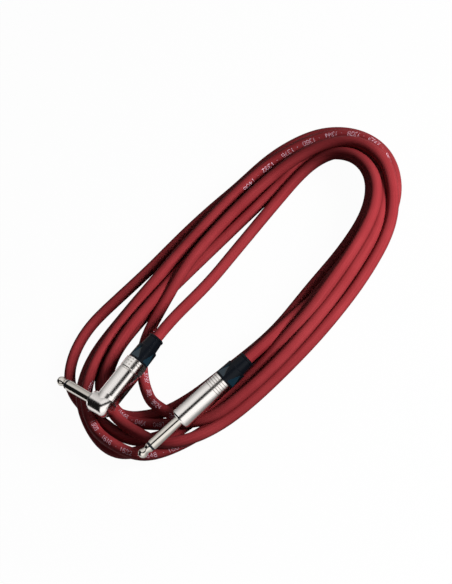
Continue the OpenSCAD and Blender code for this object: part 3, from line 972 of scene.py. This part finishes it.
straight_black = bushing_finish("bushing_straight", straight_end, straight_out)
angled_black = bushing_finish("bushing_angled", angled_end, angled_out)
print("bushing nodes:", len(straight_black.tree.nodes))

# %% [markdown]
# ## Insulators
#
# The rings that part the contacts are moulded in a plain black plastic, without gloss. One shade of
# black would look like a hole, so two very dark ones alternate.

# %% Insulators
MOULDED_BLACKS = (0.007, 0.008, 0.011, 1), (0.012, 0.014, 0.018, 1)

moulding = Finish("black_moulding", Specular_IOR_Level=0.2)
moulding_grain = moulding.noise(1500, 3)
moulding.set("Base Color", moulding.mix(moulding.noise(90), *MOULDED_BLACKS))
moulding.set("Roughness", 0.42 + 0.15 * moulding_grain)
moulding.bump(moulding_grain, 0.15, 0.0001)
print("moulding nodes:", len(moulding.tree.nodes))

# %% [markdown]
# ## Inside the plugs
#
# The chucks and washers are natural nylon, the shield is bare copper, and the two joints are solder.
# They hardly show from outside, but they do when the plug is taken apart. Each needs no more than two
# shades in patches and an uneven gloss, so one function makes all three finishes.


# %% Inner pieces
def inner_finish(name, shades, patches, dull, uneven, grains, **settings):
    inner = Finish(name, **settings)
    inner.set("Base Color", inner.mix(inner.noise(patches), *shades))
    inner.set("Roughness", dull + uneven * inner.noise(grains))
    return inner


NYLONS = (0.62, 0.58, 0.47, 1), (0.72, 0.69, 0.60, 1)
COPPERS = (0.62, 0.30, 0.16, 1), (0.80, 0.46, 0.28, 1)
SOLDERS = (0.45, 0.45, 0.45, 1), (0.66, 0.66, 0.65, 1)
nylon = inner_finish("natural_nylon", NYLONS, 120, 0.4, 0.1, 300)
copper = inner_finish("bare_copper", COPPERS, 900, 0.3, 0.2, 700, Metallic=1.0)
solder = inner_finish("solder", SOLDERS, 500, 0.35, 0.2, 600, Metallic=1.0)
print("inner finishes:", nylon.material.name, copper.material.name, solder.material.name)

# %% [markdown]
# ## Dressing the plugs
#
# The pieces are the frame's own meshes, and they stay as they are. Only their materials change. The
# two plugs are built alike, so most pieces get their finish by the second part of their name.

# %% Dressing
WEARS = {"tip": nickel, "sleeve": nickel, "insulator": moulding, "washer": nylon, "chuck": nylon,
         "core": nylon, "shield": copper, "tip_solder": solder, "ground_solder": solder}
for name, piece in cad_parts.items():
    kind = name.partition("_")[2]
    if kind in WEARS:
        WEARS[kind].on(piece)
straight_nickel.on(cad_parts["straight_shell"])
angled_nickel.on(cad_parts["angled_shell"])
straight_black.on(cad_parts["straight_bushing"])
angled_black.on(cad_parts["angled_bushing"])
plugs = [piece for name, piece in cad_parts.items() if not name.startswith("cable_")]
print("pieces of the plugs:", len(plugs), "finishes:", len({p.data.materials[0].name for p in plugs}))

# %% [markdown]
# ## Table
#
# The table is a white sheet, wide enough that no view finds its edge. A box would do as well, but
# only its top would ever be seen. It isn't a part of the object.

# %% Table
HALF_TABLE = 3

table_finish = Finish("white_table", Roughness=0.8)
table_data = bpy.data.meshes.new("table")
corners = [(x * HALF_TABLE, y * HALF_TABLE, 0) for x, y in ((-1, -1), (1, -1), (1, 1), (-1, 1))]
table_data.from_pydata(corners, [], [(0, 1, 2, 3)])
table = in_scene("table", table_data)
table_finish.on(table)
print("table:", 2 * HALF_TABLE, "m wide")

# %% [markdown]
# Lit by lamps alone the table would come out grey, and stronger lamps would burn out the object. So
# what the camera sees of it is mostly a plain white glow, with a little of the lit surface for the
# shadow. In the metal it turns white only away from the coil. Close to the coil it is painted dark
# grey there, a painted shade of the coil, and all other rays find the same dark grey, so that it
# throws little light back on the coil.

# %% White for the camera
NEAR_COIL, CLEAR_OF_COIL = 0.09, 0.19
GLOW_SHARE = 0.97

from_middle = table_finish.vector_math("LENGTH", table_finish.place())
in_mirrors = table_finish.seen("Glossy", "Transmission") * from_middle.ramp(NEAR_COIL, CLEAR_OF_COIL)
shown = (table_finish.seen("Camera") + in_mirrors).clamped()
# Painted shade: dark grey wherever the table isn't shown white, close to the coil in the metal and to
# all rays but camera and mirror rays.
table_finish.set("Base Color", table_finish.mix(shown, (0.08, 0.08, 0.08, 1), (0.95, 0.95, 0.95, 1)))
glow = table_finish.add("Emission", (), {"Color": (1, 1, 1, 1), "Strength": 1.0})
lit = Value(table_finish, table_finish.shader.outputs[0])
blend = table_finish.add("MixShader", (), {0: GLOW_SHARE * shown, 1: lit, 2: glow})
table_finish.put(blend, table_finish.tree.nodes["Material Output"].inputs["Surface"])
print("table nodes:", len(table_finish.tree.nodes))

# %% [markdown]
# ## Lamps
#
# One soft lamp stands low at the front right and shows how round the strands are. A weak one from
# above opens the shade. More lamps would flatten the coil. They are kept out of mirror rays, because the
# room below gives the metal its stripes.


# %% Lamps
def lamp(name, place, power, size):
    data = bpy.data.lights.new(name, "AREA")
    data.energy, data.size = power, size
    light = in_scene(name, data)
    light.location = place
    light.rotation_euler = (LOOK_AT - Vector(place)).to_track_quat("-Z", "Y").to_euler()
    light.visible_glossy = False
    print(name, "lamp:", power, "W,", size, "m wide")


lamp("key", (0.70, -0.93, 0.45), 28, 0.35)
lamp("fill", (-0.3, -0.5, 1.3), 1.0, 0.6)

# %% [markdown]
# ## The room that the metal shows
#
# Polished metal shows the room around it. A studio hangs white panels there. Modelled panels or an
# image of a studio could stand in for it, but a few ramps over the direction of a ray do the same
# without objects or files. One broad panel hangs above, toward the right and the back, and fades
# toward the back. One stands in front.

# %% Room
PANEL_WAY = (0.55, 0.59, 0.59)

world = bpy.data.worlds.new("studio")
world.use_nodes = True
room = Nodes(world.node_tree)
direction = room.add("TexCoord", output="Generated")
x, y, z = room.split(direction)
toward_panel = room.vector_math("DOT_PRODUCT", direction, PANEL_WAY)
fading = 0.3 + 0.8 * (z - y).ramp(-0.9, 0.6)
ceiling = toward_panel.ramp(0.44, 0.54) * x.ramp(-0.26, -0.1) * fading
front = (1 - toward_panel.ramp(0.0, 0.1)) * (-y).ramp(0.1, 0.3)
studio = 0.01 + 0.9 * ceiling + 1.3 * front
print("room nodes:", len(room.tree.nodes))

# %% [markdown]
# The camera sees plain white beyond the table, and metal sees the room. All other rays get only a
# little light from the world, so that the lamps make the shades.

# %% World
WORLD_LIGHT = 0.02

camera_ray, mirror_ray = room.seen("Camera"), room.seen("Glossy", "Transmission")
other_ray = 1 - room.seen("Camera", "Glossy", "Transmission")
level = WORLD_LIGHT * other_ray + camera_ray + mirror_ray * (1 - camera_ray) * studio
background = world.node_tree.nodes["Background"]
room.put(level, background.inputs["Strength"])
room.put((1, 1, 1, 1), background.inputs["Color"])
bpy.context.scene.world = world
bpy.context.scene.view_settings.view_transform = "Standard"
print("world nodes:", len(room.tree.nodes))

# %% [markdown]
